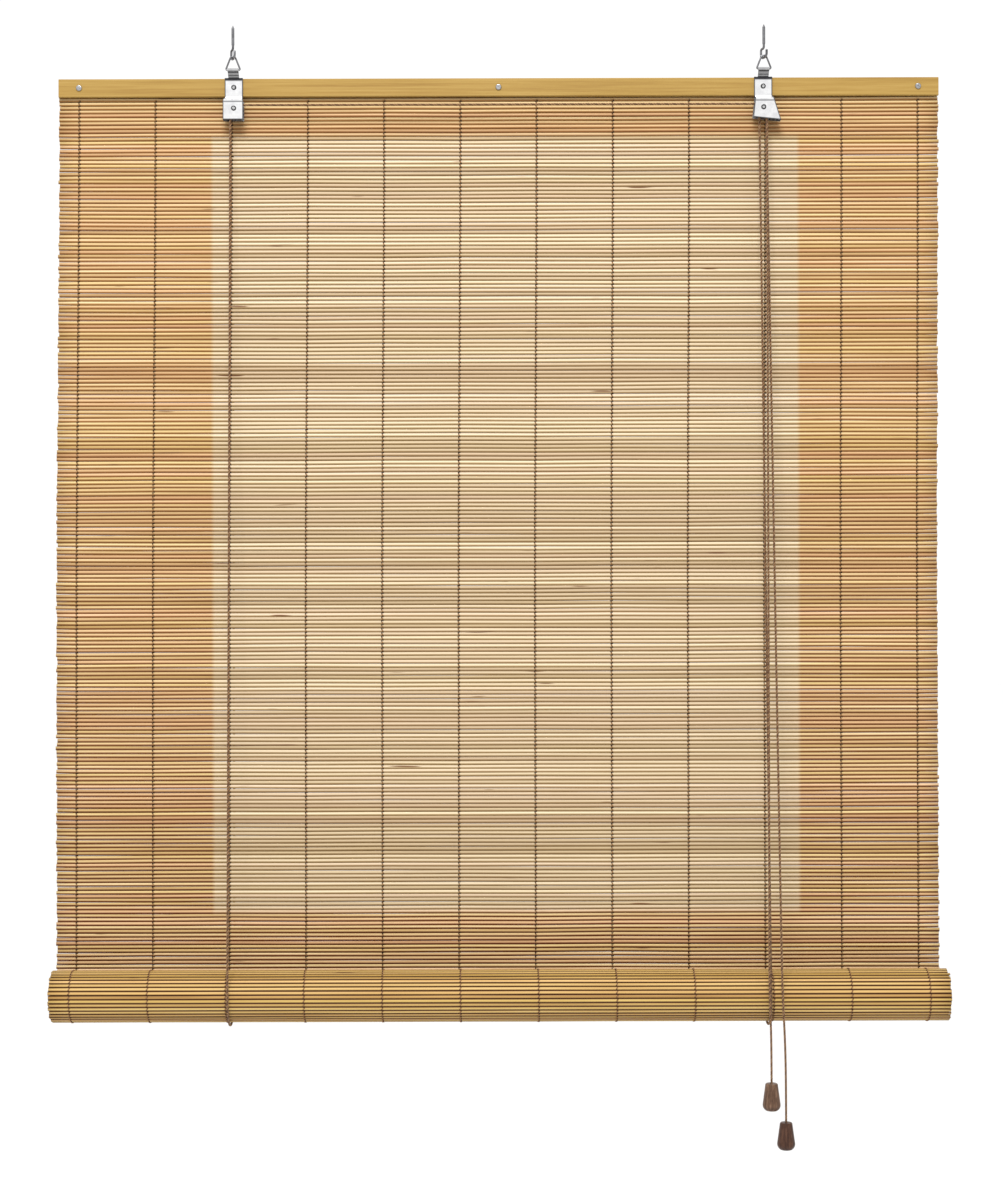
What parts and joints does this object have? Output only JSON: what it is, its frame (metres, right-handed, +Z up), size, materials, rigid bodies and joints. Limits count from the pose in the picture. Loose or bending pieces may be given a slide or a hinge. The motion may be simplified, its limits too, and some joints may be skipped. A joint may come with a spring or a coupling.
{
  "type": "bamboo roll-up blind",
  "caption": "Roll-up window blind of woven bamboo slats, raised by lift cords and pull knobs through a cord lock, hung by wire bails from screw hooks.",
  "frame": {"origin": "midway between the two screw hooks' shanks, at the ceiling or lintel that they are screwed into", "axes": "+X along the head rail to the pull-cord side, +Y to the window behind, +Z up"},
  "size_m": [0.908, 0.0833, 1.135],
  "materials": {
    "rail_bamboo": "satin",
    "slat_bamboo": "satin",
    "roll_bamboo": "satin",
    "lath_wood": "matte",
    "warp_thread": "matte",
    "cord": "matte",
    "knob_wood": "satin",
    "nickel_sheet": "satin",
    "steel_wire": "satin",
    "fastener_steel": "satin",
    "wheel_brass": "satin"
  },
  "bodies": {
    "hooks": {"left_screw_hook": "steel_wire", "right_screw_hook": "steel_wire", "left_bail": "steel_wire", "right_bail": "steel_wire"},
    "blind": {"front_batten": "rail_bamboo", "rear_batten": "rail_bamboo", "batten_screws": "fastener_steel", "curtain_slats": "slat_bamboo", "warp_threads": "warp_thread", "hem_slats": "slat_bamboo", "hem_threads": "warp_thread", "left_bracket": "nickel_sheet", "right_bracket": "nickel_sheet", "left_back_plate": "nickel_sheet", "right_back_plate": "nickel_sheet", "bracket_screws": "fastener_steel", "left_axle": "fastener_steel", "right_axle": "fastener_steel", "left_axle_spacer": "fastener_steel", "crossing_cord": "cord", "right_turn_cord": "cord", "left_lift_cord_front": "cord", "left_lift_cord_rear": "cord", "right_lift_cord_front": "cord", "right_lift_cord_rear": "cord", "lift_cord_knots": "cord", "cord_staples": "steel_wire", "inner_pull_cord": "cord", "outer_pull_cord": "cord"},
    "left_wheel": {"left_wheel": "wheel_brass"},
    "right_front_wheel": {"right_front_wheel": "wheel_brass"},
    "right_rear_wheel": {"right_rear_wheel": "wheel_brass"},
    "lock": {"lock_roller": "fastener_steel"},
    "slings": {"left_cord_sling": "cord", "right_cord_sling": "cord"},
    "roll": {"curtain_roll": "roll_bamboo", "bottom_lath": "lath_wood"},
    "inner_pull": {"inner_pull_knob": "knob_wood", "inner_pull_knot": "cord"},
    "outer_pull": {"outer_pull_knob": "knob_wood", "outer_pull_knot": "cord"}
  },
  "joints": [
    {"name": "blind_swing", "type": "hinge", "parent": "hooks", "child": "blind", "pos_m": [0, 0, -0.02526], "axis": [1, 0, 0], "range_deg": [-60, 20]},
    {"name": "roll_lift", "type": "slide", "parent": "blind", "child": "slings", "axis": [0, 0, 1], "range_m": [0, 0.84], "deforming": ["curtain_slats", "warp_threads", "left_lift_cord_front", "right_lift_cord_front", "left_lift_cord_rear", "right_lift_cord_rear"]},
    {"name": "roll_spin", "type": "hinge", "parent": "slings", "child": "roll", "pos_m": [0, -0.0153, -0.96566], "axis": [1, 0, 0], "continuous": true},
    {"name": "left_wheel_spin", "type": "hinge", "parent": "blind", "child": "left_wheel", "pos_m": [-0.2697, 0.0004, -0.06456], "axis": [0, 1, 0], "continuous": true},
    {"name": "right_front_wheel_spin", "type": "hinge", "parent": "blind", "child": "right_front_wheel", "pos_m": [0.27, 0.0004, -0.06456], "axis": [0, 1, 0], "continuous": true},
    {"name": "right_rear_wheel_spin", "type": "hinge", "parent": "blind", "child": "right_rear_wheel", "pos_m": [0.27, 0.0048, -0.06456], "axis": [0, 1, 0], "continuous": true},
    {"name": "lock_slide", "type": "slide", "parent": "blind", "child": "lock", "axis": [0.3021, 0, -0.9533], "range_m": [0, 0.006]},
    {"name": "inner_pull_slide", "type": "slide", "parent": "blind", "child": "inner_pull", "axis": [0, 0, -1], "range_m": [0, 1.68], "deforming": ["inner_pull_cord"]},
    {"name": "outer_pull_slide", "type": "slide", "parent": "blind", "child": "outer_pull", "axis": [0, 0, -1], "range_m": [0, 1.68], "deforming": ["outer_pull_cord"]}
  ],
  "couplings": [
    {"joint": "roll_spin", "follows": "roll_lift", "rad_per_m": -34.722},
    {"joint": "left_wheel_spin", "follows": "roll_lift", "rad_per_m": 540.54},
    {"joint": "right_front_wheel_spin", "follows": "roll_lift", "rad_per_m": 540.54},
    {"joint": "right_rear_wheel_spin", "follows": "roll_lift", "rad_per_m": 540.54},
    {"joint": "inner_pull_slide", "follows": "roll_lift", "ratio": 2},
    {"joint": "outer_pull_slide", "follows": "roll_lift", "ratio": 2}
  ]
}
